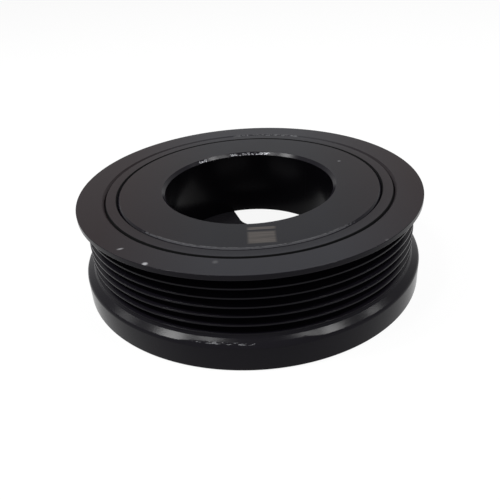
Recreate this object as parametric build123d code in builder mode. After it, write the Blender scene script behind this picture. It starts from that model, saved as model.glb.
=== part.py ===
"""Harmonic balancer (torsional vibration damper) for a crankshaft nose, in millimetres.

A cast hub is clamped to the crank nose. A rubber ring is squeezed between the rim of the hub and
an outer inertia ring, which also carries the V-grooves of the accessory belt.

The origin is the centre of the inertia ring's rear face, on which the balancer rests, and +Z
points to the front face. Turned sections are drawn as radius against height, then revolved.
"""

import os
from math import radians, tan

from build123d import *

# ---------------------------------------------------------------- driving dimensions
# Inertia ring
overall_height = 37.1        # rear face to front face
front_flange_radius = 67.4
front_flange_edge = 1.85     # thickness of the front flange at its edge
rear_rim_radius = 68.1
rear_rim_width = 10.7        # plain cylinder behind the grooves
rear_rim_round = 1.0         # soft corner between the shoulder and that cylinder
ring_inner_radius = 56.8     # wall that the rubber is pressed against
ring_edge_break = 0.5

# Belt grooves, PK section
groove_count = 6
groove_pitch = 3.56
groove_angle = 40.0
groove_depth = 3.25
groove_root_round = 0.35
crest_radius = 64.7          # outside of the ribs between the grooves
crest_flat = 0.6
crest_round = 0.2
first_groove = 5.05          # front face to the middle of the first groove

# Rubber ring
rubber_thickness = 5.1       # measured along a radius
rubber_front_recess = 0.1    # behind the front faces
rubber_rear_recess = 1.0     # inside the rear of the hub's rim
rubber_corner = 0.5          # width of the sloping edge along each wall
rubber_corner_depth = 0.9

# Hub
well_radius = 33.4           # open well for the crank bolt and its socket
well_edge_break = 1.2
hub_rim_depth = 28.4         # front face to the rear of the thick rim
hub_edge_break = 0.5
web_radius = 17.5            # round middle that the arms grow from
boss_radius = 16.0           # turned seats in the middle of the web
boss_edge_break = 0.5
seat_rise = 0.5              # bolt seat above the front of the arms
rear_seat_gap = 0.6          # the rear seat lies this far inside the ring's rear face
arm_count = 3
first_arm = 5.0              # direction round Z, in degrees
arm_rear_gap = 1.7           # the arms end this far inside the ring's rear face
arm_width = 16.2             # across the arm where it leaves the web
arm_taper = 18.2             # each side spreads outward by this angle
arm_reach = 50.2
arm_corner_round = 9.0       # between the side of an arm and the web
arm_rear_round = 1.2

# Fit on the crank nose
nose_bore_radius = 12.0
nose_bore_break = 0.8
keyway_width = 6.0
keyway_depth = 2.6

# ---------------------------------------------------------------- sizes that follow
front = overall_height
hub_outer_radius = ring_inner_radius - rubber_thickness
hub_rear = front - hub_rim_depth
seat = hub_rear + seat_rise
root_radius = crest_radius - groove_depth
half_mouth = (groove_pitch - crest_flat) / 2
half_root = half_mouth - groove_depth * tan(radians(groove_angle / 2))
groove_middles = [front - first_groove - groove_pitch * i for i in range(groove_count)]


def corners_at(*places):
    """The corners of the section in hand that lie at the given radius and height."""
    return [vertices().sort_by_distance((radius, height, 0))[0] for radius, height in places]


# ---------------------------------------------------------------- inertia ring
groove_mouths = [(crest_radius, z + side * half_mouth) for z in groove_middles for side in (1, -1)]
groove_roots = [(root_radius, z + side * half_root) for z in groove_middles for side in (1, -1)]
groove_points = []
for i in range(0, 2 * groove_count, 2):
    groove_points += [groove_mouths[i], groove_roots[i], groove_roots[i + 1], groove_mouths[i + 1]]

with BuildPart() as inertia_ring:
    with BuildSketch(Plane.XZ):
        with BuildLine():
            Polyline(
                (ring_inner_radius, front),
                (front_flange_radius, front),
                (front_flange_radius, front - front_flange_edge),
                *groove_points,
                (rear_rim_radius, rear_rim_width),
                (rear_rim_radius, 0),
                (ring_inner_radius, 0),
                close=True,
            )
        make_face()
        fillet(corners_at(*groove_roots), radius=groove_root_round)
        fillet(corners_at(*groove_mouths[1:-1]), radius=crest_round)
        fillet(corners_at((rear_rim_radius, rear_rim_width)), radius=rear_rim_round)
        chamfer(
            corners_at((ring_inner_radius, front), (ring_inner_radius, 0), (rear_rim_radius, 0)),
            length=ring_edge_break,
        )
    revolve(axis=Axis.Z)
inertia_ring.part.label = "inertia_ring"

# ---------------------------------------------------------------- rubber ring
rubber_front = front - rubber_front_recess
rubber_rear = hub_rear + rubber_rear_recess

with BuildPart() as rubber_ring:
    with BuildSketch(Plane.XZ):
        with BuildLine():
            Polyline(
                (hub_outer_radius, rubber_front),
                (ring_inner_radius, rubber_front),
                (ring_inner_radius, rubber_rear),
                (hub_outer_radius, rubber_rear),
                close=True,
            )
        make_face()
        for corner in vertices():
            wall = vertices().sort_by_distance(corner)[0]
            along_wall = edges().filter_by(Axis.Y).sort_by_distance(wall)[0]
            chamfer(wall, length=rubber_corner_depth, length2=rubber_corner, reference=along_wall)
    revolve(axis=Axis.Z)
rubber_ring.part.label = "rubber_ring"

# ---------------------------------------------------------------- hub
arm_tan = tan(radians(arm_taper))
arm_half_root = arm_width / 2 - web_radius * arm_tan
arm_half_end = arm_half_root + arm_reach * arm_tan

with BuildPart() as hub:
    # The arms grow from a round web below the well and carry the rim on their outer ends.
    with BuildSketch(Plane.XY.offset(arm_rear_gap)):
        with PolarLocations(0, arm_count, start_angle=first_arm):
            Polygon(
                (0, -arm_half_root),
                (arm_reach, -arm_half_end),
                (arm_reach, arm_half_end),
                (0, arm_half_root),
                align=None,
            )
        Circle(arm_reach, mode=Mode.INTERSECT)
        Circle(web_radius)
        inner_corners = vertices().filter_by(lambda v: abs(abs(v.center()) - web_radius) < 0.01)
        fillet(inner_corners, radius=arm_corner_round)
    extrude(amount=hub_rear - arm_rear_gap)
    fillet(edges().group_by(Axis.Z)[0], radius=arm_rear_round)

    # Thick rim around the open well.
    with BuildSketch(Plane.XZ):
        with BuildLine():
            Polyline(
                (well_radius, front),
                (hub_outer_radius, front),
                (hub_outer_radius, hub_rear),
                (well_radius, hub_rear),
                close=True,
            )
        make_face()
        chamfer(corners_at((well_radius, front)), length=well_edge_break)
        chamfer(
            corners_at((hub_outer_radius, front), (hub_outer_radius, hub_rear)),
            length=hub_edge_break,
        )
    revolve(axis=Axis.Z)

    # Boss with a seat for the crank bolt in front and one for the crank's shoulder behind.
    with BuildSketch(Plane.XZ):
        with BuildLine():
            Polyline(
                (0, seat),
                (boss_radius, seat),
                (boss_radius, rear_seat_gap),
                (0, rear_seat_gap),
                close=True,
            )
        make_face()
        chamfer(
            corners_at((boss_radius, seat), (boss_radius, rear_seat_gap)),
            length=boss_edge_break,
        )
    revolve(axis=Axis.Z)

    # Bore for the crank nose, eased where the nose enters, and its keyway.
    with BuildSketch(Plane.XY.offset(hub_rear)):
        Circle(nose_bore_radius)
    extrude(amount=hub_rim_depth, both=True, mode=Mode.SUBTRACT)
    rear_mouth = edges().filter_by(GeomType.CIRCLE).group_by(Axis.Z)[0].sort_by(SortBy.RADIUS)[0]
    chamfer(rear_mouth, length=nose_bore_break)
    with BuildSketch(Plane.XY.offset(hub_rear)):
        with PolarLocations(0, 1, start_angle=first_arm):
            Rectangle(
                nose_bore_radius + keyway_depth,
                keyway_width,
                align=(Align.MIN, Align.CENTER),
            )
    extrude(amount=hub_rim_depth, both=True, mode=Mode.SUBTRACT)
hub.part.label = "hub"

# ---------------------------------------------------------------- files
os.makedirs("parts", exist_ok=True)
export_step(hub.part, "parts/hub.step")
export_step(rubber_ring.part, "parts/rubber_ring.step")
export_step(inertia_ring.part, "parts/inertia_ring.step")
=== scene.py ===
# %% [markdown]
# # Harmonic balancer
#
# A harmonic balancer sits on the nose of an engine's crankshaft. Its heavy outer ring hangs on
# a band of rubber, so it can lag a little behind the hub and soak up the twisting vibration of
# the crank. The same ring carries the fine V-grooves that drive the ribbed belt. This lesson
# loads the CAD model, turns a smooth copy of each piece, paints it, and sets up a plain studio.

# %% Load the CAD model
import random
from math import acos, atan2, cos, degrees, hypot, pi, radians, sin, tan

import bpy
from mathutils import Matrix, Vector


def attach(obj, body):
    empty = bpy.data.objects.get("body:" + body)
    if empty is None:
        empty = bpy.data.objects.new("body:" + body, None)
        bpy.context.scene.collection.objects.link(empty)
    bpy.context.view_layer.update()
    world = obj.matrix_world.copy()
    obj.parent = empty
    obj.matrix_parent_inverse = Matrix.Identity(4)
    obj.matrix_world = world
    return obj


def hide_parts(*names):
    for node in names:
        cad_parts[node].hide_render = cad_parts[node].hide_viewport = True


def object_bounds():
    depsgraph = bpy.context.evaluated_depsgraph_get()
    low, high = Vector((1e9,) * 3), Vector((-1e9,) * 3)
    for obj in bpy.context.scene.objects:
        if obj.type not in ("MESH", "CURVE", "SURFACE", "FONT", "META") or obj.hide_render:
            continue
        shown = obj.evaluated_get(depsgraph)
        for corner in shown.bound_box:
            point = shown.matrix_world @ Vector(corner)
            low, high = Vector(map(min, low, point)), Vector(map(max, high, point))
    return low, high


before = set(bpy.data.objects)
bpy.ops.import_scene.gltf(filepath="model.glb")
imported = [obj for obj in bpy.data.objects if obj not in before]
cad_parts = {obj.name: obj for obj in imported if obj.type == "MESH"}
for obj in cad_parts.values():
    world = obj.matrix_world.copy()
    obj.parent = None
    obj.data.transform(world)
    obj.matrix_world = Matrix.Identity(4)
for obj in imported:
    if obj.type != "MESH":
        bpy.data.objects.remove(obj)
cad_low, cad_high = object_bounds()
MM = 0.001
height = (cad_high[2] - cad_low[2]) / MM
print("CAD box, mm:", [round(v / MM, 2) for v in (*cad_low, *cad_high)])
print("CAD nodes:", sorted(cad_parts))

# %% [markdown]
# ## Camera
#
# The camera stands about 230 mm from the middle of the front face, which is close for a part of
# this size, so the near edge is drawn clearly larger than the far edge. It looks down by about
# 31 degrees, towards the foot of the part, and leans by about three. A lens given in millimetres
# is measured against the usual 36 mm wide film.

# %% Camera
CAMERA_BACK, CAMERA_ABOVE = 210.47, 93.09   # mm from the axis, and above the front face
CAMERA_TURN = (59.4452, 2.9613, -1.4631)    # degrees: tilt up from straight down, lean, swing
LENS, FILM_WIDTH = 41.27, 36.0              # mm
NEAREST_SEEN = 0.01                         # metres
bpy.ops.object.camera_add(
    location=(0.0, -CAMERA_BACK * MM, (height + CAMERA_ABOVE) * MM),
    rotation=[radians(turn) for turn in CAMERA_TURN],
)
camera = bpy.context.object
camera.name = "camera"
camera.data.lens = LENS
camera.data.sensor_width = FILM_WIDTH
camera.data.clip_start = NEAREST_SEEN
bpy.context.scene.camera = camera
print("camera looks from", [round(v, 4) for v in camera.location])

# %% [markdown]
# ## Drawing and turning an outline
#
# Every piece here was made on a lathe or in a round mould, so each one starts as half of its
# section: a closed outline drawn beside the axis. In Blender this is a single vertex that is
# extruded from corner to corner. The Spin operator then sweeps the outline round the axis. A
# real edge is never quite sharp, so a corner may carry a small radius, which is drawn as a few
# points on an arc.


# %% Rounded corners
def soften(corners, steps=4):
    """Points of a closed outline. A corner is (across, up, radius), and a radius draws an arc."""
    points = []
    for i, (x, y, radius) in enumerate(corners):
        if not radius:
            points.append((x, y))
            continue
        before, after = corners[i - 1], corners[(i + 1) % len(corners)]
        to_before = (before[0] - x, before[1] - y)
        to_after = (after[0] - x, after[1] - y)
        a, b = hypot(*to_before), hypot(*to_after)
        u = (to_before[0] / a, to_before[1] / a)
        v = (to_after[0] / b, to_after[1] / b)
        half = acos(max(-1.0, min(1.0, u[0] * v[0] + u[1] * v[1]))) / 2
        run = radius / tan(half)
        middle = hypot(u[0] + v[0], u[1] + v[1])
        out = radius / sin(half) / middle
        cx, cy = x + (u[0] + v[0]) * out, y + (u[1] + v[1]) * out
        start = atan2(y + u[1] * run - cy, x + u[0] * run - cx)
        turn = atan2(y + v[1] * run - cy, x + v[0] * run - cx) - start
        turn = (turn + pi) % (2 * pi) - pi
        for k in range(steps + 1):
            angle = start + turn * k / steps
            points.append((cx + radius * cos(angle), cy + radius * sin(angle)))
    return points


square = [(0, 0, 1), (9, 0, 1), (9, 9, 1), (0, 9, 1)]
print("a square with four rounded corners has", len(soften(square)), "points")

# %% Drawing and turning
WELD = 0.002 * MM            # points closer together than this are merged
SHARP = radians(24)          # an edge that turns by more than this stays sharp
RING_STEPS, BORE_STEPS = 288, 192   # flats round a large circle, and round a small one


def draw(name, points):
    """A new mesh object with one closed chain of edges through the points, given in mm."""
    bpy.ops.object.select_all(action="DESELECT")
    bpy.ops.mesh.primitive_plane_add(size=MM, location=(0, 0, 0))
    piece = bpy.context.object
    piece.name = piece.data.name = name
    bpy.ops.object.mode_set(mode="EDIT")
    bpy.ops.mesh.merge(type="CENTER")
    here = (0.0, 0.0, 0.0)
    for i, there in enumerate(points + points[:1]):
        step = [(t - h) * MM for t, h in zip(there, here)]
        if i == 0:
            bpy.ops.transform.translate(value=step)
        else:
            bpy.ops.mesh.extrude_region_move(TRANSFORM_OT_translate={"value": step})
        here = there
    bpy.ops.mesh.select_all(action="SELECT")
    bpy.ops.mesh.remove_doubles(threshold=WELD)
    bpy.ops.object.mode_set(mode="OBJECT")
    return piece


def turned(name, corners, steps=RING_STEPS):
    """Spins a closed section, given as (radius, height, edge radius) in mm, round the axis."""
    piece = draw(name, [(r, 0.0, z) for r, z in soften(corners)])
    bpy.ops.object.mode_set(mode="EDIT")
    bpy.ops.mesh.select_all(action="SELECT")
    bpy.ops.mesh.spin(steps=steps, angle=2 * pi, center=(0, 0, 0), axis=(0, 0, 1))
    bpy.ops.mesh.select_all(action="SELECT")
    bpy.ops.mesh.remove_doubles(threshold=WELD)
    bpy.ops.mesh.normals_make_consistent(inside=False)
    bpy.ops.object.mode_set(mode="OBJECT")
    bpy.ops.object.shade_smooth_by_angle(angle=SHARP)
    print(name, "has", len(piece.data.polygons), "faces")
    return piece


print("sections are welded at", WELD / MM, "mm")


# %% Flat shading
def keep_flat(piece):
    """Lets large faces set the shading at their rounded edges, so turned flats look flat."""
    bpy.ops.object.select_all(action="DESELECT")
    piece.select_set(True)
    bpy.context.view_layer.objects.active = piece
    bpy.ops.object.modifier_add(type="WEIGHTED_NORMAL")
    piece.modifiers[-1].keep_sharp = True
    bpy.ops.object.modifier_apply(modifier=piece.modifiers[-1].name)


print("circles are drawn with", RING_STEPS, "or", BORE_STEPS, "flats")

# %% [markdown]
# ## Inertia ring
#
# The ring is cast iron, turned all over and painted. Its six belt grooves are 40 degrees wide
# and 3.56 mm apart, and each has a rounded root so that the belt's ribs wedge on the flanks and
# never touch the bottom. A thin flange keeps the belt on at the front. At the back a sloping
# shoulder leads out to a plain rim. The grooves could be cut one by one, but drawn into the
# section by a loop they cost nothing extra, and every root and crest gets its round.

# %% Inertia ring
RING_INSIDE = 56.8
RING_BREAK = 0.85            # broken front edge of the ring beside the rubber
REAR_BREAK = 0.5             # broken edges of the boss, and at the back of ring and hub
FLANGE_RADIUS = 67.4
FLANGE_THICKNESS = 1.85
REAR_RIM_RADIUS = 68.1
CREST_RADIUS = 64.7
CREST_WIDTH = 0.6
GROOVE_COUNT = 6
GROOVE_PITCH = 3.56
GROOVE_DEPTH = 3.25
FLANK_LEAN = radians(20)     # half of the groove's angle
FIRST_GROOVE = 5.05          # from the front face to the middle of the first groove
LAST_CREST = 0.7             # height of the crest under the last groove
SHOULDER_FOOT = (65.2, 11.45)  # radius and height where the slope starts below that crest
SHOULDER_EDGE = 9.78         # height where it meets the plain rim, before rounding
half_mouth = (GROOVE_PITCH - CREST_WIDTH) / 2
half_root = half_mouth - GROOVE_DEPTH * tan(FLANK_LEAN)

groove_corners = []
for i in range(GROOVE_COUNT):
    middle = height - FIRST_GROOVE - GROOVE_PITCH * i
    # the back of the flange slopes straight into the first groove, so that has no upper round
    groove_corners += [
        (CREST_RADIUS, middle + half_mouth, 0.2 if i else 0.0),
        (CREST_RADIUS - GROOVE_DEPTH, middle + half_root, 0.35),
        (CREST_RADIUS - GROOVE_DEPTH, middle - half_root, 0.35),
        (CREST_RADIUS, middle - half_mouth, 0.2),
    ]

inertia_ring = turned(
    "inertia_ring_turned",
    [
        (RING_INSIDE, height - RING_BREAK, 0.0),
        (RING_INSIDE + RING_BREAK, height, 0.1),
        (FLANGE_RADIUS, height, 0.22),
        (FLANGE_RADIUS, height - FLANGE_THICKNESS, 0.3),
        *groove_corners,
        # middle is still that of the last groove
        (CREST_RADIUS, middle - half_mouth - LAST_CREST, 0.2),
        (*SHOULDER_FOOT, 0.4),
        (REAR_RIM_RADIUS, SHOULDER_EDGE, 1.5),
        (REAR_RIM_RADIUS, 0.0, 0.6),
        (RING_INSIDE + REAR_BREAK, 0.0, 0.1),
        (RING_INSIDE, REAR_BREAK, 0.0),
    ],
)

# %% [markdown]
# ## Bruised edge
#
# The near edge of the shoulder has taken a knock: over about 40 degrees its round is pressed
# wider, to half way up the slope, and is a little uneven. A bump in the paint could suggest
# that, but the edge itself would stay perfect, so the points of the mesh are moved.

# %% Bruised edge
BRUISE_MIDDLE, BRUISE_HALF = -92.0, 21.0   # degrees round the axis
BRUISE_TOP, BRUISE_FOOT = 10.35, 8.8       # mm, the heights between which the edge is pressed
BRUISE_INSIDE = 66.9                       # mm, the radius outside which it is pressed
PRESSED_IN, PRESSED_UP, PRESSED_DOWN = 1.1, 0.63, 0.15   # mm, before the unevenness
FADE_LENGTH = 0.25                         # share of the half length over which it fades out
UNEVENNESS = (0.85, 1.05)                  # least and most share of that depth
uneven = random.Random(7)
moved = 0
for vertex in inertia_ring.data.vertices:
    r, z = hypot(vertex.co.x, vertex.co.y) / MM, vertex.co.z / MM
    away = abs(degrees(atan2(vertex.co.y, vertex.co.x)) - BRUISE_MIDDLE) / BRUISE_HALF
    if r < BRUISE_INSIDE or not BRUISE_FOOT < z < BRUISE_TOP or away > 1:
        continue
    pressed = min(1.0, (1 - away) / FADE_LENGTH) * uneven.uniform(*UNEVENNESS)
    low = (BRUISE_TOP - z) / (BRUISE_TOP - BRUISE_FOOT)
    inward = PRESSED_IN * (1 - low) * pressed
    vertex.co.x *= 1 - inward / r
    vertex.co.y *= 1 - inward / r
    vertex.co.z += (PRESSED_UP * (1 - low) - PRESSED_DOWN * low) * pressed * MM
    moved += 1
print("the bruise moved", moved, "points")

# %% [markdown]
# ## Rubber ring
#
# The rubber was squeezed into the gap between hub and ring and painted over with them. From the
# front it is a flat band that lies a touch below the iron, with a dark line along each edge. A
# painted line would look the same from every side, so each line is a real seam: the corner of
# the rubber slopes down to the wall, and the iron beside it has a broken edge.

# %% Rubber ring
HUB_OUTSIDE = 51.7
HUB_BREAK = 0.7              # broken front edge of the hub beside the rubber
HUB_DEPTH = 28.4             # from the front face to the back of its rim
HUB_REAR = height - HUB_DEPTH
RUBBER_SUNK = 0.1            # the rubber's front below the front face
HUB_SEAM = (0.7, 2.4)        # width and depth of the seam beside the hub
RING_SEAM = (0.65, 2.2)      # the same beside the ring
REAR_SLOPE, REAR_RISE = 0.7, 0.3   # width and height of the sloping corners at the back
RUBBER_REAR = HUB_REAR + 1.0
rubber_ring = turned(
    "rubber_band",
    [
        (HUB_OUTSIDE, height - HUB_SEAM[1], 0.0),
        (HUB_OUTSIDE + HUB_SEAM[0], height - RUBBER_SUNK, 0.1),
        (RING_INSIDE - RING_SEAM[0], height - RUBBER_SUNK, 0.1),
        (RING_INSIDE, height - RING_SEAM[1], 0.0),
        (RING_INSIDE, RUBBER_REAR + REAR_RISE, 0.0),
        (RING_INSIDE - REAR_SLOPE, RUBBER_REAR, 0.4),
        (HUB_OUTSIDE + REAR_SLOPE, RUBBER_REAR, 0.4),
        (HUB_OUTSIDE, RUBBER_REAR + REAR_RISE, 0.0),
    ],
)

# %% [markdown]
# ## Hub
#
# The hub is one casting: a thick rim round an open well, and behind it three arms that run in
# to a small bored boss. The rim and the boss are turned like the ring. The arms are a plate
# whose outline is drawn from above, with a generous round where each arm meets the web, then
# extruded. Boolean unions fuse the three forms, as the casting does, and a bar cuts the keyway.

# %% Hub rim and boss
WELL_RADIUS = 33.4
WELL_BREAK = 1.2             # broken edge round the mouth of the well
hub = turned(
    "hub_casting",
    [
        (WELL_RADIUS, height - WELL_BREAK, 0.15),
        (WELL_RADIUS + WELL_BREAK, height, 0.15),
        (HUB_OUTSIDE - HUB_BREAK, height, 0.1),
        (HUB_OUTSIDE, height - HUB_BREAK, 0.0),
        (HUB_OUTSIDE, HUB_REAR + REAR_BREAK, 0.1),
        (HUB_OUTSIDE - REAR_BREAK, HUB_REAR, 0.1),
        (WELL_RADIUS, HUB_REAR, 0.3),
    ],
)

BOSS_RADIUS, BORE_RADIUS = 16.0, 12.0
SEAT = HUB_REAR + 0.5        # front face of the boss, which the crank bolt's washer presses on
BOSS_REAR = 0.6
BORE_BREAK = 0.8             # wider broken edge, which guides the boss on to the crank nose
boss = turned(
    "boss",
    [
        (BORE_RADIUS, SEAT, 0.15),
        (BOSS_RADIUS - REAR_BREAK, SEAT, 0.1),
        (BOSS_RADIUS, SEAT - REAR_BREAK, 0.0),
        (BOSS_RADIUS, BOSS_REAR + REAR_BREAK, 0.1),
        (BOSS_RADIUS - REAR_BREAK, BOSS_REAR, 0.1),
        (BORE_RADIUS + BORE_BREAK, BOSS_REAR, 0.1),
        (BORE_RADIUS, BOSS_REAR + BORE_BREAK, 0.1),
    ],
    steps=BORE_STEPS,
)

# %% Outline of the arms
WEB_RADIUS, ARM_REACH, CORNER_ROUND = 17.5, 50.2, 9.0
ARM_REAR = 1.7
ARM_ROUND = 1.2              # round along the rear edges of the arms
ARM_LEAN = radians(18.2)     # each side of an arm leans out by this much
ARM_ROOT_WIDTH = 16.2        # across an arm, where it leaves the web
INTO_RIM = 0.04              # the arms reach this far into the rim, so that the two fuse
ARM_COUNT = 3
ARM_STEP = 2 * pi / ARM_COUNT
FIRST_ARM = radians(5.0)
ROUND_STEPS, REACH_STEPS = 12, 16   # points along the web and its rounds, and under the rim
taper = tan(ARM_LEAN)
half_width_at_axis = ARM_ROOT_WIDTH / 2 - WEB_RADIUS * taper   # if the sides ran on that far


def arm_side():
    """One side of an arm that points along X: the round at the web, then the outer corner."""
    offset = half_width_at_axis + CORNER_ROUND / cos(ARM_LEAN)
    a, b = 1 + taper**2, 2 * offset * taper
    c = offset**2 - (WEB_RADIUS + CORNER_ROUND) ** 2
    cx = (-b + (b * b - 4 * a * c) ** 0.5) / (2 * a)
    cy = offset + cx * taper
    start, end = atan2(-cy, -cx), ARM_LEAN - pi / 2
    arc = [start + (end - start) * k / ROUND_STEPS for k in range(ROUND_STEPS + 1)]
    side = [(cx + CORNER_ROUND * cos(t), cy + CORNER_ROUND * sin(t)) for t in arc]
    b, c = 2 * half_width_at_axis * taper, half_width_at_axis**2 - ARM_REACH**2
    reach = (-b + (b * b - 4 * a * c) ** 0.5) / (2 * a)
    return side + [(reach, half_width_at_axis + reach * taper)]


side = arm_side()
side_start = atan2(side[0][1], side[0][0])
side_end = atan2(side[-1][1], side[-1][0])
angles = [atan2(y, x) for x, y in side]
radii = [hypot(x, y) for x, y in side]
gap = ARM_STEP - 2 * side_start
plan = []
for arm in range(ARM_COUNT):
    middle = FIRST_ARM + arm * ARM_STEP
    plan += [(r, middle - t) for r, t in zip(radii, angles)]
    for k in range(1, REACH_STEPS):
        plan.append((ARM_REACH, middle - side_end + 2 * side_end * k / REACH_STEPS))
    plan += [(r, middle + t) for r, t in reversed(list(zip(radii, angles)))]
    for k in range(1, ROUND_STEPS):
        plan.append((WEB_RADIUS, middle + side_start + gap * k / ROUND_STEPS))
print("the outline of the arms has", len(plan), "points")

# %% Arms
arms = draw("arms", [(r * cos(t), r * sin(t), ARM_REAR) for r, t in plan])
bpy.ops.object.mode_set(mode="EDIT")
bpy.ops.mesh.select_all(action="SELECT")
bpy.ops.mesh.edge_face_add()
bpy.ops.mesh.extrude_region_move(
    TRANSFORM_OT_translate={"value": (0, 0, (HUB_REAR - ARM_REAR + INTO_RIM) * MM)}
)
bpy.ops.mesh.select_all(action="SELECT")
bpy.ops.mesh.normals_make_consistent(inside=False)
bpy.ops.mesh.select_all(action="DESELECT")
bpy.ops.object.mode_set(mode="OBJECT")
for edge in arms.data.edges:
    ends = [arms.data.vertices[v].co.z for v in edge.vertices]
    edge.select = max(ends) < (ARM_REAR + 0.1) * MM
bpy.ops.object.mode_set(mode="EDIT")
bpy.ops.mesh.bevel(offset=ARM_ROUND * MM, segments=4)
bpy.ops.object.mode_set(mode="OBJECT")
print("arms have", len(arms.data.polygons), "faces")

# %% One casting
KEY_WIDTH, KEY_REACH = 6.0, 14.6   # the keyway, and how far from the axis it goes
BORE_CUT, KEY_CUT = 30.0, 40.0     # lengths of the two cutters, which run right through
bpy.ops.object.select_all(action="DESELECT")
bpy.ops.mesh.primitive_cylinder_add(
    vertices=BORE_STEPS, radius=BORE_RADIUS * MM, depth=BORE_CUT * MM, location=(0, 0, 0)
)
bore_cut = bpy.context.object
bpy.ops.mesh.primitive_cube_add(size=1, location=(KEY_REACH / 2 * MM, 0, 0))
key_cut = bpy.context.object
key_cut.dimensions = (KEY_REACH * MM, KEY_WIDTH * MM, KEY_CUT * MM)
bpy.ops.object.transform_apply(location=True, rotation=False, scale=True)
key_cut.rotation_euler = (0, 0, FIRST_ARM)
bpy.ops.object.transform_apply(location=False, rotation=True, scale=False)


def combine(piece, tool, operation):
    """Applies a Boolean to the piece and removes the tool."""
    bpy.ops.object.select_all(action="DESELECT")
    piece.select_set(True)
    bpy.context.view_layer.objects.active = piece
    step = piece.modifiers.new(operation.lower(), "BOOLEAN")
    step.operation, step.object, step.solver = operation, tool, "EXACT"
    bpy.ops.object.modifier_apply(modifier=step.name)
    bpy.data.objects.remove(tool)


combine(arms, bore_cut, "DIFFERENCE")
combine(arms, boss, "UNION")
combine(arms, key_cut, "DIFFERENCE")
combine(hub, arms, "UNION")
bpy.ops.object.mode_set(mode="EDIT")
bpy.ops.mesh.select_all(action="SELECT")
bpy.ops.mesh.remove_doubles(threshold=WELD)
bpy.ops.object.mode_set(mode="OBJECT")
bpy.ops.object.shade_smooth_by_angle(angle=SHARP)
print("hub has", len(hub.data.polygons), "faces")

# %% [markdown]
# ## Paint
#
# The part is sprayed in one thin coat of satin black. Seen straight on it is almost black, and
# most of what the eye reads as its shape is the soft reflection of the lamps along its edges.
# A flat face that looks up also gathers fine dust. Its dark grey colour stands for that dust and
# also paints the sheen it reflects from above. Where a tool or a neighbour in the crate has knocked
# a sharp edge, the coat is chipped and bright iron shows. Some of that iron sits on the lamp glints
# and paints them, and pale lines along the seams are painted highlights.


# %% Material helpers
def linear(hex_colour):
    """An sRGB colour such as 2b2a2c as linear red, green, blue and alpha."""
    parts = [int(hex_colour[i : i + 2], 16) / 255 for i in (0, 2, 4)]
    return [c / 12.92 if c <= 0.04045 else ((c + 0.055) / 1.055) ** 2.4 for c in parts] + [1.0]


def add(tree, kind, settings=None, **links):
    """Adds a node. Settings name its properties or sockets, and links name what feeds a socket.

    A socket goes by its name, or by its number: 1 in the settings, and _1 as a link.
    """
    node = tree.nodes.new(kind)
    for key, value in (settings or {}).items():
        if isinstance(key, int) or key in node.inputs:
            node.inputs[key].default_value = value
        else:
            setattr(node, key, value)
    for key, source in links.items():
        name = key[1:]
        socket = node.inputs[int(name)] if name.isdigit() else node.inputs[key.replace("_", " ")]
        tree.links.new(getattr(source, "outputs", [source])[0], socket)
    return node


def new_material(name):
    """A material whose tree holds only its Principled shader, wired to the output."""
    material = bpy.data.materials.new(name)
    material.use_nodes = True
    tree = material.node_tree
    tree.nodes.clear()
    shader = add(tree, "ShaderNodeBsdfPrincipled")
    add(tree, "ShaderNodeOutputMaterial", _0=shader)
    return material, tree, shader


print("half of full brightness, 808080, is", round(linear("808080")[0], 3), "of the light")


# %% Painted iron
PEEL_SIZE = 0.7              # mm, the paint's orange peel, drawn as coarse as it needs to show
TURNING_PITCH = 0.9          # mm between tool marks, coarser than real ones for the same reason


def painted_iron(name, colour, roughness, specular):
    """Paint over turned iron: fine orange peel, and faint tool marks that run round the axis."""
    material, tree, shader = new_material(name)
    shader.inputs["Base Color"].default_value = linear(colour)
    shader.inputs["Roughness"].default_value = roughness
    shader.inputs["Specular IOR Level"].default_value = specular
    place = add(tree, "ShaderNodeTexCoord").outputs["Object"]
    flat = add(tree, "ShaderNodeVectorMath", {"operation": "MULTIPLY", 1: (1, 1, 0)}, _0=place)
    radius = add(tree, "ShaderNodeVectorMath", {"operation": "LENGTH"}, _0=flat).outputs["Value"]
    peel = add(tree, "ShaderNodeTexNoise", {"Scale": 1000 / PEEL_SIZE, "Detail": 1.0}, Vector=place)
    peel = add(tree, "ShaderNodeBump", {"Strength": 0.2, "Distance": 0.02 * MM}, Height=peel)
    turns = 2 * pi * 1000 / TURNING_PITCH
    marks = add(tree, "ShaderNodeMath", {"operation": "MULTIPLY", 1: turns}, _0=radius)
    marks = add(tree, "ShaderNodeMath", {"operation": "SINE"}, _0=marks)
    depth = {"Strength": 0.06, "Distance": 0.01 * MM}
    marks = add(tree, "ShaderNodeBump", depth, Height=marks, Normal=peel)
    tree.links.new(marks.outputs[0], shader.inputs["Normal"])
    return material, tree, shader, place, radius


print("orange peel", PEEL_SIZE, "mm across, tool marks", TURNING_PITCH, "mm apart")


# %% [markdown]
# ## Where the wear and the painted glints lie
#
# Wear, and the painted glints and highlights on the edges, are placed with boxes, so each mark can
# be moved on its own. The box of an edge mark is measured in radius, height and angle, and the box
# of a rubbed patch in x and y. A fine speckle, drawn out along the turning, breaks the inside of an
# edge box up into small chips and glints.

# %% Placing wear
CHIP_SIZE = 0.45             # mm across the turning
CHIP_LENGTH = 1.3            # mm along it, true at MIDDLE_RADIUS
MIDDLE_RADIUS = 50.0         # mm
CHIP_FADE = 0.3              # share of a box over which its chips thin out
# on the glinting edges the same limits also set where a painted glint shows
MARK_FROM, MARK_TO = 0.98, 1.06   # where the speckle and the cover together show bare iron


def polar_place(tree, place, radius):
    """The same place given as radius, height and angle round the axis."""
    x, y, z = add(tree, "ShaderNodeSeparateXYZ", _0=place).outputs
    around = add(tree, "ShaderNodeMath", {"operation": "ARCTAN2"}, _0=y, _1=x)
    return add(tree, "ShaderNodeCombineXYZ", _0=radius, _1=z, _2=around)


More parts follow.
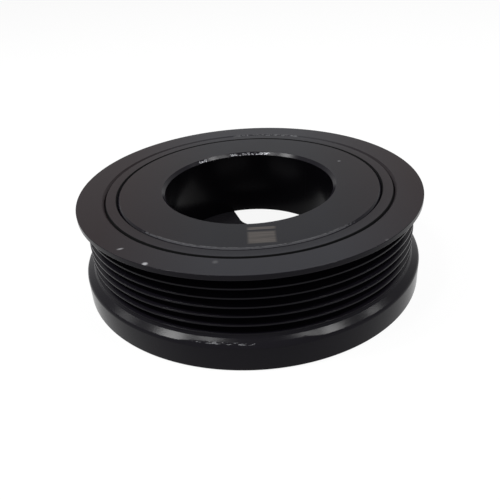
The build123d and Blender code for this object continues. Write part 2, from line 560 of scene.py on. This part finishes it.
def within(tree, place, middle, half, soft):
    """1 inside a box, falling to 0 over the outer share of it that soft gives."""
    away = add(tree, "ShaderNodeVectorMath", {"operation": "SUBTRACT", 1: middle}, _0=place)
    away = add(tree, "ShaderNodeVectorMath", {"operation": "DIVIDE", 1: half}, _0=away)
    away = add(tree, "ShaderNodeVectorMath", {"operation": "ABSOLUTE"}, _0=away)
    x, y, z = add(tree, "ShaderNodeSeparateXYZ", _0=away).outputs
    most = add(tree, "ShaderNodeMath", {"operation": "MAXIMUM"}, _0=x, _1=y)
    most = add(tree, "ShaderNodeMath", {"operation": "MAXIMUM"}, _0=most, _1=z)
    return add(tree, "ShaderNodeMapRange", {"From Min": 1.0, "From Max": 1.0 - soft}, Value=most)


def chipped(tree, polar, places):
    """How bare the paint is, and how bright a painted glint is: the strongest of several speckled
    boxes.
    """
    grain = (1 / (CHIP_SIZE * MM), 1 / (CHIP_SIZE * MM), MIDDLE_RADIUS / CHIP_LENGTH)
    grain = add(tree, "ShaderNodeVectorMath", {"operation": "MULTIPLY", 1: grain}, _0=polar)
    speckle = {"Scale": 1.0, "Detail": 3.0, "Roughness": 0.6, "Distortion": 0.7}
    speckle = add(tree, "ShaderNodeTexNoise", speckle, Vector=grain)
    bare = None
    for (r, dr), (z, dz), (turn, dturn), cover, strength in places:
        middle = (r * MM, z * MM, radians(turn))
        here = within(tree, polar, middle, (dr * MM, dz * MM, radians(dturn)), CHIP_FADE)
        here = add(tree, "ShaderNodeMath", {"operation": "MULTIPLY", 1: cover}, _0=here)
        here = add(tree, "ShaderNodeMath", {"operation": "ADD"}, _0=here, _1=speckle)
        limits = {"From Min": MARK_FROM, "From Max": MARK_TO, "To Max": strength}
        here = add(tree, "ShaderNodeMapRange", limits, Value=here)
        if bare:
            here = add(tree, "ShaderNodeMath", {"operation": "MAXIMUM"}, _0=bare, _1=here)
        bare = here
    return bare


print("chips are about", CHIP_SIZE, "by", CHIP_LENGTH, "mm")


# %% [markdown]
# ## Satin black with chipped edges and painted glints
#
# Satin paint is smooth but reflects little, which gives the eye a soft, dim highlight. The chips
# are small and lie only where something touched the part: on the far side of the well's mouth and
# on the knocked edge of the shoulder. There their pale iron also paints the lamp glints and
# sparkle. Along the near edge of the hub beside the rubber, a faint line of the same iron is a
# painted highlight. The bare iron is mixed into the same shader and isn't a face of its own, so a
# chip can be ragged.

# %% Satin black
SATIN_COLOUR, SATIN_ROUGHNESS, SATIN_SPECULAR = "131117", 0.20, 0.08
# bare iron of the chips, whose pale colour also paints lamp glints and one edge highlight
IRON_AND_GLINT_COLOUR, IRON_ROUGHNESS, IRON_METALLIC = "b7b8bc", 0.4, 0.6
satin_black, tree, shader, place, radius = painted_iron(
    "satin_black_paint", SATIN_COLOUR, SATIN_ROUGHNESS, SATIN_SPECULAR
)

# middle and half extent in radius, height (mm) and angle (degrees), how much is chipped, how bare
EDGE_CHIPS_AND_GLINTS = [
    # the far side of the well's mouth: chips whose pale iron also paints the lamp glints there
    ((33.9, 0.5), (height - 0.75, 0.6), (88, 20), 0.50, 0.65),
    ((33.9, 0.5), (height - 0.75, 0.6), (125, 5), 0.46, 0.75),
    # the near edge of the hub: a faint painted highlight, not a chip
    ((51.3, 0.55), (height - 0.1, 0.42), (-92, 57), 0.66, 0.13),
    # the knocked shoulder: chips whose pale iron also paints the lamp sparkle there
    ((66.8, 0.5), (10.45, 0.35), (-102, 9.0), 0.46, 0.45),
    ((67.0, 0.4), (10.3, 0.3), (-93.5, 3.5), 0.46, 0.45),
]
bare = chipped(tree, polar_place(tree, place, radius), EDGE_CHIPS_AND_GLINTS)
colours = {"data_type": "RGBA", 6: linear(SATIN_COLOUR), 7: linear(IRON_AND_GLINT_COLOUR)}
coat = add(tree, "ShaderNodeMix", colours, Factor=bare)
limits = {"To Min": SATIN_ROUGHNESS, "To Max": IRON_ROUGHNESS}
rough = add(tree, "ShaderNodeMapRange", limits, Value=bare)
metal = add(tree, "ShaderNodeMath", {"operation": "MULTIPLY", 1: IRON_METALLIC}, _0=bare)
tree.links.new(coat.outputs[2], shader.inputs["Base Color"])
tree.links.new(rough.outputs[0], shader.inputs["Roughness"])
tree.links.new(metal.outputs[0], shader.inputs["Metallic"])
print("satin black is chipped in", len(EDGE_CHIPS_AND_GLINTS), "places")

# %% [markdown]
# ## Dusty front with painted sheen
#
# The faces that look up carry a film of fine dust over the same paint. It hides most of the gloss
# and turns the black into an even dark grey. That grey also paints the sheen of the bright room
# above, which these faces reflect. It is a shade lighter on the ring and warmer towards the sides,
# and both shifts are painted reflection. A few pale crumbs of grit lie on it. On the hub is one
# dull patch, as if something had been stuck on there and rubbed off again. Along the edges beside
# the two seams, pale lines are painted highlights where the lamps catch those edges: the hub's
# along the near side, and the ring's at the far side. All this could be painted as an image, but
# laid on one after the other as nodes, each layer can be changed alone.

# %% Dust and painted sheen
# the up-facing faces are lighter than the satin black: dust, and painted sheen of the room they
# reflect
DARK_DUST_AND_SHEEN, PALE_DUST_AND_SHEEN, RING_REFLECTION = "141417", "1e1e22", "2b2b2f"
DUST_ROUGHNESS, DUST_SPECULAR = 0.5, 0.1
CLOUD_SIZE = 31.25           # mm, across a slightly darker or paler cloud of dust
dust_and_sheen_front, tree, shader, place, radius = painted_iron(
    "dust_and_sheen_satin_black", DARK_DUST_AND_SHEEN, DUST_ROUGHNESS, DUST_SPECULAR
)
flat = add(tree, "ShaderNodeVectorMath", {"operation": "MULTIPLY", 1: (1, 1, 0)}, _0=place)
clouds = {"Scale": 1000 / CLOUD_SIZE, "Detail": 4.0}
cloud = add(tree, "ShaderNodeTexNoise", clouds, Vector=place)
colours = {"data_type": "RGBA", 6: linear(DARK_DUST_AND_SHEEN), 7: linear(PALE_DUST_AND_SHEEN)}
coat = add(tree, "ShaderNodeMix", colours, Factor=cloud)

# painted reflection: lighter outward across the rubber to the ring
limits = {"From Min": HUB_OUTSIDE * MM, "From Max": RING_INSIDE * MM, "To Max": 0.7}
outward = add(tree, "ShaderNodeMapRange", limits, Value=radius)
colours = {"data_type": "RGBA", 7: linear(RING_REFLECTION)}
coat = add(tree, "ShaderNodeMix", colours, Factor=outward, _6=coat.outputs[2])
print(dust_and_sheen_front.name, "has", len(tree.nodes), "nodes so far")

# %% Warmer sides, a painted reflection
# painted reflection: the dust turns warmer to the left and right
WARM_REFLECTION = linear("180f11")
WARM_MIDDLE, WARM_FROM, WARM_TO = 6.0, 20.0, 58.0   # mm along x, the last two from the first
middle = (WARM_MIDDLE * MM, 0, 0)
sideways = add(tree, "ShaderNodeVectorMath", {"operation": "SUBTRACT", 1: middle}, _0=flat)
sideways = add(tree, "ShaderNodeVectorMath", {"operation": "ABSOLUTE"}, _0=sideways)
sideways = add(tree, "ShaderNodeSeparateXYZ", _0=sideways).outputs["X"]
limits = {"From Min": WARM_FROM * MM, "From Max": WARM_TO * MM, "To Max": 0.9}
sideways = add(tree, "ShaderNodeMapRange", limits, Value=sideways)
colours = {"data_type": "RGBA", 7: WARM_REFLECTION}
coat = add(tree, "ShaderNodeMix", colours, Factor=sideways, _6=coat.outputs[2])
# where the painted warm reflection is strongest
edges = (WARM_MIDDLE - WARM_TO, WARM_MIDDLE + WARM_TO)
print("the dust is warmest left and right of x =", edges, "mm")

# %% Grit
# pale grit, and also the colour of the painted highlights along the seams
GRIT_AND_HIGHLIGHT = linear("b4b4b7")
# place, half length and half width in mm, turn in degrees, strength, softness
CRUMBS = [
    (-43.4, -47.0, 1.4, 0.65, 18, 0.5, 0.8),
    (-33.9, -57.3, 1.15, 1.1, 0, 0.7, 0.6),
    (38.9, 17.6, 0.8, 0.5, 0, 0.4, 0.5),
    (43.7, -51.2, 1.2, 1.0, 0, 0.10, 0.7),
    (-11.8, -58.6, 1.2, 1.2, 0, 0.10, 0.7),
]
for x, y, along, across, turn, strength, soft in CRUMBS:
    where = {
        "vector_type": "TEXTURE",
        "Location": (x * MM, y * MM, 0.0),
        "Rotation": (0.0, 0.0, radians(turn)),
        "Scale": (along * MM, across * MM, 1.0),
    }
    spot = add(tree, "ShaderNodeMapping", where, Vector=flat)
    spot = add(tree, "ShaderNodeVectorMath", {"operation": "LENGTH"}, _0=spot).outputs["Value"]
    limits = {"From Min": 1.0, "From Max": 1.0 - soft, "To Max": strength}
    spot = add(tree, "ShaderNodeMapRange", limits, Value=spot)
    colours = {"data_type": "RGBA", 7: GRIT_AND_HIGHLIGHT}
    coat = add(tree, "ShaderNodeMix", colours, Factor=spot, _6=coat.outputs[2])
print("crumbs of grit:", len(CRUMBS))

# %% Rubbed patch
RUBBED = linear("5b5652")
STREAKS = (0.06, 1.3, 1.0)   # per mm in x, y and z, so a streak is long in x and fine in y
FAINTEST = 0.6               # share of the patch's strength between two streaks
PATCH_FADE = 0.2             # share of a part over which its border fades
# two parts with a thin line between them: middle and half size in mm, strength
PATCH = [(3.45, -38.15, 5.2, 0.95, 0.70), (3.35, -44.4, 5.1, 4.3, 0.60)]
grain = add(tree, "ShaderNodeVectorMath", {"operation": "MULTIPLY", 1: STREAKS}, _0=flat)
grain = add(tree, "ShaderNodeTexNoise", {"Scale": 1000.0, "Detail": 1.0}, Vector=grain)
grain = add(tree, "ShaderNodeMapRange", {"From Min": 0.38, "From Max": 0.58}, Value=grain)
streaks = add(tree, "ShaderNodeMapRange", {"To Min": FAINTEST}, Value=grain)
for x, y, half_x, half_y, strength in PATCH:
    middle, half = (x * MM, y * MM, 0.0), (half_x * MM, half_y * MM, 1.0)
    rubbed = within(tree, flat, middle, half, PATCH_FADE)
    rubbed = add(tree, "ShaderNodeMath", {"operation": "MULTIPLY", 1: strength}, _0=rubbed)
    rubbed = add(tree, "ShaderNodeMath", {"operation": "MULTIPLY"}, _0=rubbed, _1=streaks)
    colours = {"data_type": "RGBA", 7: RUBBED}
    coat = add(tree, "ShaderNodeMix", colours, Factor=rubbed, _6=coat.outputs[2])
print("parts of the rubbed patch:", len(PATCH))

# %% Painted highlights on the edges by the seams
# painted highlights where the lamps catch the broken edges: measured as the edge chips are, on the
# hub and then on the ring
SEAM_HIGHLIGHTS = [
    ((50.85, 0.25), (height, 1.0), (-92, 52), 0.56, 0.14),
    ((57.4, 0.45), (height, 1.0), (80, 21), 0.50, 0.24),
]
# how strong the painted highlight is along each seam
bare = chipped(tree, polar_place(tree, place, radius), SEAM_HIGHLIGHTS)
colours = {"data_type": "RGBA", 7: GRIT_AND_HIGHLIGHT}
coat = add(tree, "ShaderNodeMix", colours, Factor=bare, _6=coat.outputs[2])
tree.links.new(coat.outputs[2], shader.inputs["Base Color"])
print(dust_and_sheen_front.name, "has", len(tree.nodes), "nodes")

# %% [markdown]
# ## Casting and rubber
#
# The arms of the hub and the back of its rim were left as cast, so their skin is rougher and shows
# the sand. The wall of the well was turned. It lies deep in the part, and its coat is given a
# darker colour, which paints the shade in the well, and it reflects less. The rubber itself is dull
# and charcoal black where no paint reached it. The sand and the rubber's grain are bump, because
# they are too fine to change an outline.

# %% Casting and rubber
SAND_GRAIN = 1.3             # mm, coarser than moulding sand, so that it shows at all
RUBBER_GRAIN = 0.6           # mm, the fine pitting that the mould leaves
painted_casting, tree, shader, place, _ = painted_iron("painted_casting", "111013", 0.5, 0.15)
sand = add(tree, "ShaderNodeTexNoise", {"Scale": 1000 / SAND_GRAIN, "Detail": 3.0}, Vector=place)
sand = add(tree, "ShaderNodeBump", {"Strength": 0.8, "Distance": 0.35 * MM}, Height=sand)
tree.links.new(sand.outputs[0], shader.inputs["Normal"])

# painted shade: the wall of the well is given a darker black than the satin paint
shaded_well_paint = painted_iron("shaded_well_black", "0a090c", 0.22, 0.06)[0]

black_rubber, tree, shader = new_material("black_rubber")
shader.inputs["Base Color"].default_value = linear("0e0e0f")
shader.inputs["Roughness"].default_value = 0.75
shader.inputs["Specular IOR Level"].default_value = 0.12
place = add(tree, "ShaderNodeTexCoord").outputs["Object"]
skin = add(tree, "ShaderNodeTexNoise", {"Scale": 1000 / RUBBER_GRAIN, "Detail": 2.0}, Vector=place)
skin = add(tree, "ShaderNodeBump", {"Strength": 0.3, "Distance": 0.03 * MM}, Height=skin)
tree.links.new(skin.outputs[0], shader.inputs["Normal"])
finishes = (satin_black, dust_and_sheen_front, painted_casting, shaded_well_paint, black_rubber)
print("finishes:", [material.name for material in finishes])


# %% Which face gets which finish
def finish(piece, plain, special):
    """Puts the plain material on the piece, and each special one on the faces its test picks."""
    piece.data.materials.clear()
    for material in [plain] + [m for m, _ in special]:
        piece.data.materials.append(material)
    counts = [0] * (len(special) + 1)
    for face in piece.data.polygons:
        # a face that bends round the boss has its centre inside it, so its corners are averaged
        corners = [piece.data.vertices[v].co for v in face.vertices]
        r = sum(hypot(c.x, c.y) for c in corners) / len(corners) / MM
        z = face.center.z / MM
        face.material_index = 0
        for i, (_, picks) in enumerate(special):
            if picks(r, z, face.normal.z):
                face.material_index = i + 1
        counts[face.material_index] += 1
    print(piece.name, "faces by finish:", counts)


# %% Where each finish lies
# how far up a face looks at least, from -1 to 1, to be a flat face, or a sloping edge that gets the
# dust and its painted sheen
FACE_UP, EDGE_UP = 0.95, 0.6
# mm, how far the rounded edges reach that keep the plain paint: front, mouth of the well, back
FRONT_ROUND, WELL_ROUND, REAR_ROUND = 0.3, 1.3, 0.6
SLACK = 0.05                 # mm, so that a face which lies right on a radius is inside it


def looks_forward(r, z, up):
    """True on a front face, up to where its edge starts to turn down."""
    return z > height - FRONT_ROUND and up > FACE_UP


def dust_and_sheen_on_ring(r, z, up):
    """True on the front face of the ring and on its broken edge beside the rubber."""
    on_break = r < RING_INSIDE + RING_BREAK and z > height - RING_BREAK
    return looks_forward(r, z, up) or (on_break and up > EDGE_UP)


def on_well_wall(r, z, up):
    """True on the wall of the well, between its rounded ends."""
    return r < WELL_RADIUS + SLACK and HUB_REAR + REAR_ROUND < z < height - WELL_ROUND


def as_cast(r, z, up):
    """True on the arms, the web and the back of the rim, but not on the turned boss."""
    return z < HUB_REAR + 2 * SLACK and BOSS_RADIUS + SLACK < r < HUB_OUTSIDE - REAR_ROUND


finish(hub, satin_black, [
    (dust_and_sheen_front, looks_forward),
    (shaded_well_paint, on_well_wall),
    (painted_casting, as_cast),
])
finish(rubber_ring, black_rubber, [(dust_and_sheen_front, looks_forward)])
finish(inertia_ring, satin_black, [(dust_and_sheen_front, dust_and_sheen_on_ring)])

# %% Handing the pieces over
for piece, node in ((hub, "hub"), (rubber_ring, "rubber_ring"), (inertia_ring, "inertia_ring")):
    keep_flat(piece)
    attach(piece, "root")
    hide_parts(node)
print("pieces:", [piece.name for piece in (hub, rubber_ring, inertia_ring)])

# %% [markdown]
# ## Studio
#
# Black paint shows its shape mostly in what it reflects, so the lamps are placed by where their
# highlights fall. Six small soft boxes stand in a bow from left to right, the strongest at the
# left, and a wide weak one hangs over the part, a little to the back. The floor and the world
# look white to the camera and in reflections, but light the part only weakly, so it stands on
# white paper and the floor still takes a faint shadow.

# %% What is seen and what gives light
def is_seen(tree):
    """1 for a ray that shows the background itself or its reflection, and 0 for one that lights."""
    path = add(tree, "ShaderNodeLightPath")
    seen = path.outputs["Is Camera Ray"]
    for other in ("Is Glossy Ray", "Is Transmission Ray"):
        other = path.outputs[other]
        seen = add(tree, "ShaderNodeMath", {"operation": "MAXIMUM"}, _0=seen, _1=other)
    return seen


# %% Floor
FLOOR_SIZE, FLOOR_DROP = 8, 0.0002   # metres, and how far it lies below the part
bpy.ops.object.select_all(action="DESELECT")
bpy.ops.mesh.primitive_plane_add(size=FLOOR_SIZE, location=(0, 0, -FLOOR_DROP))
floor = bpy.context.object
floor.name = "floor"
paper = bpy.data.materials.new("white_paper")
paper.use_nodes = True
tree = paper.node_tree
tree.nodes.clear()
# what lights the part is matt paper, and what is seen is dim paper, which takes the shadow, plus
# a glow that makes it white
matt = add(tree, "ShaderNodeBsdfDiffuse", {"Color": linear("e6e6e6")})
dim = add(tree, "ShaderNodeBsdfDiffuse", {"Color": linear("595959")})
glow = add(tree, "ShaderNodeEmission", {"Strength": 0.92})
bright = add(tree, "ShaderNodeAddShader", _0=dim, _1=glow)
shown = add(tree, "ShaderNodeMixShader", _0=is_seen(tree), _1=matt, _2=bright)
add(tree, "ShaderNodeOutputMaterial", _0=shown)
floor.data.materials.append(paper)
print("floor, m:", FLOOR_SIZE, "by", FLOOR_SIZE)

# %% World
LIGHTING, SHOWN = 0.2, 1.0   # strength of the white world for rays that light, and that show it
world = bpy.data.worlds.new("studio")
bpy.context.scene.world = world
world.use_nodes = True
tree = world.node_tree
tree.nodes.clear()
limits = {"To Min": LIGHTING, "To Max": SHOWN}
strength = add(tree, "ShaderNodeMapRange", limits, Value=is_seen(tree))
light = add(tree, "ShaderNodeBackground", {"Color": (1, 1, 1, 1)}, Strength=strength)
add(tree, "ShaderNodeOutputWorld", _0=light)
print(world.name, "has", len(tree.nodes), "nodes")


# %% Lamps
LAMP_DISTANCE = 0.9          # metres from the foot of the part
LAMPS = {                    # direction, size in metres, power in watts
    "left": ((-0.534, -0.092, 0.841), 0.15, 3.6),
    "far_left": ((-0.748, 0.185, 0.637), 0.12, 0.4),
    "mid_left": ((-0.322, -0.211, 0.923), 0.12, 1.4),
    "mid_right": ((0.322, -0.211, 0.923), 0.10, 0.9),
    "right": ((0.472, -0.134, 0.871), 0.11, 1.9),
    "far_right": ((0.697, 0.086, 0.712), 0.08, 0.5),
    "over": ((0.0, 0.40, 0.917), 0.30, 0.7),
}


def soft_box(name, direction, size, power):
    """A square area lamp that stands that way from the part and points at it."""
    place = [d * LAMP_DISTANCE for d in direction]
    bpy.ops.object.light_add(type="AREA", location=place)
    lamp = bpy.context.object
    lamp.name = name
    lamp.data.shape = "SQUARE"
    lamp.data.size = size
    lamp.data.energy = power
    across = hypot(place[0], place[1])
    lamp.rotation_euler = (atan2(across, place[2]), 0, atan2(place[1], place[0]) + pi / 2)


for name, (direction, size, power) in LAMPS.items():
    soft_box("lamp_" + name, direction, size, power)
print("lamps:", len(LAMPS), "with", round(sum(row[2] for row in LAMPS.values()), 1), "W in all")

# %% Finish
scene = bpy.context.scene
scene.view_settings.view_transform = "Standard"
